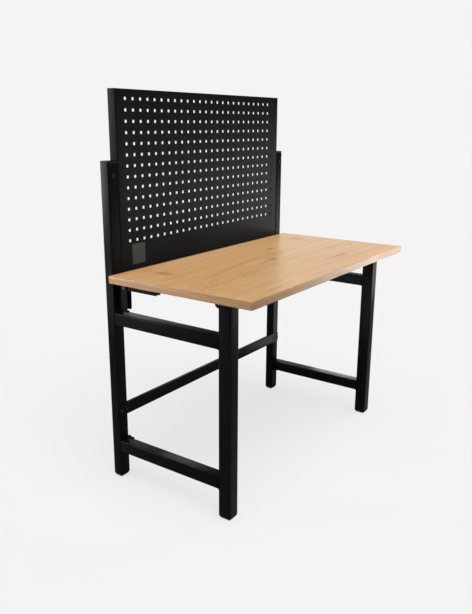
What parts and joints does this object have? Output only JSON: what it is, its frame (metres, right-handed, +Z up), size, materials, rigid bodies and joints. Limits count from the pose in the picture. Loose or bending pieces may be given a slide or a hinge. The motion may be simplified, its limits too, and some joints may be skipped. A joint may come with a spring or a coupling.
{
  "type": "folding workbench with pegboard",
  "caption": "Folding workbench with a laminate top, a black square-tube frame, leg frames that fold in on side hinges and a perforated tool panel at the back.",
  "frame": {"origin": "on the floor, in the middle of the bench's overall footprint", "axes": "+Z up; -Y towards the user, who faces the pegboard at the back; +X to the user's right, along the worktop"},
  "size_m": [1.19, 0.6532, 1.445],
  "materials": {
    "frame_paint": "satin black powder coat",
    "panel_paint": "satin black powder coat",
    "oak_top": "matt oak laminate on board",
    "oak_edge": "matt edge band",
    "black_plastic": "moulded black",
    "black_steel": "blackened"
  },
  "bodies": {
    "rear_frame": {"cross_brace": "frame_paint", "left_brace_bolt_inner": "black_steel", "left_brace_bolt_outer": "black_steel", "left_bracket_bolt_lower": "black_steel", "left_bracket_bolt_upper": "black_steel", "left_lower_hinge_fixed_leaf": "frame_paint", "left_panel_bolt_lower": "black_steel", "left_panel_bolt_upper": "black_steel", "left_pivot_bolt": "black_steel", "left_pivot_nut": "black_steel", "left_rear_foot": "black_plastic", "left_table_bracket": "frame_paint", "left_upper_hinge_fixed_leaf": "frame_paint", "left_upright": "frame_paint", "left_upright_bolt_top": "black_steel", "left_upright_cap": "black_plastic", "pegboard": "panel_paint", "pegboard_bottom_fold": "panel_paint", "pegboard_left_fold": "panel_paint", "pegboard_right_fold": "panel_paint", "pegboard_top_fold": "panel_paint", "right_brace_bolt_inner": "black_steel", "right_brace_bolt_outer": "black_steel", "right_bracket_bolt_lower": "black_steel", "right_bracket_bolt_upper": "black_steel", "right_lower_hinge_fixed_leaf": "frame_paint", "right_panel_bolt_lower": "black_steel", "right_panel_bolt_upper": "black_steel", "right_pivot_bolt": "black_steel", "right_pivot_nut": "black_steel", "right_rear_foot": "black_plastic", "right_table_bracket": "frame_paint", "right_upper_hinge_fixed_leaf": "frame_paint", "right_upright": "frame_paint", "right_upright_bolt_top": "black_steel", "right_upright_cap": "black_plastic"},
    "left_leg_frame": {"left_front_foot": "black_plastic", "left_leg": "frame_paint", "left_leg_cap": "black_plastic", "left_lower_hinge_moving_leaf": "frame_paint", "left_lower_rail": "frame_paint", "left_upper_hinge_moving_leaf": "frame_paint", "left_upper_rail": "frame_paint"},
    "right_leg_frame": {"right_front_foot": "black_plastic", "right_leg": "frame_paint", "right_leg_cap": "black_plastic", "right_lower_hinge_moving_leaf": "frame_paint", "right_lower_rail": "frame_paint", "right_upper_hinge_moving_leaf": "frame_paint", "right_upper_rail": "frame_paint"},
    "worktop": {"edge_band": "oak_edge", "left_arm_screw_front": "black_steel", "left_arm_screw_rear": "black_steel", "left_leg_stop": "black_plastic", "left_table_arm": "frame_paint", "right_arm_screw_front": "black_steel", "right_arm_screw_rear": "black_steel", "right_leg_stop": "black_plastic", "right_table_arm": "frame_paint", "tabletop": "oak_top"}
  },
  "joints": [
    {"name": "left_leg_frame_fold", "type": "hinge", "parent": "rear_frame", "child": "left_leg_frame", "pos_m": [-0.5187, 0.2861, 0], "axis": [0, 0, 1], "range_deg": [0, 90]},
    {"name": "right_leg_frame_fold", "type": "hinge", "parent": "rear_frame", "child": "right_leg_frame", "pos_m": [0.5187, 0.2861, 0], "axis": [0, 0, -1], "range_deg": [0, 90]},
    {"name": "worktop_lift", "type": "hinge", "parent": "rear_frame", "child": "worktop", "pos_m": [0, 0.2526, 0.763], "axis": [-1, 0, 0], "range_deg": [0, 4.5]}
  ]
}
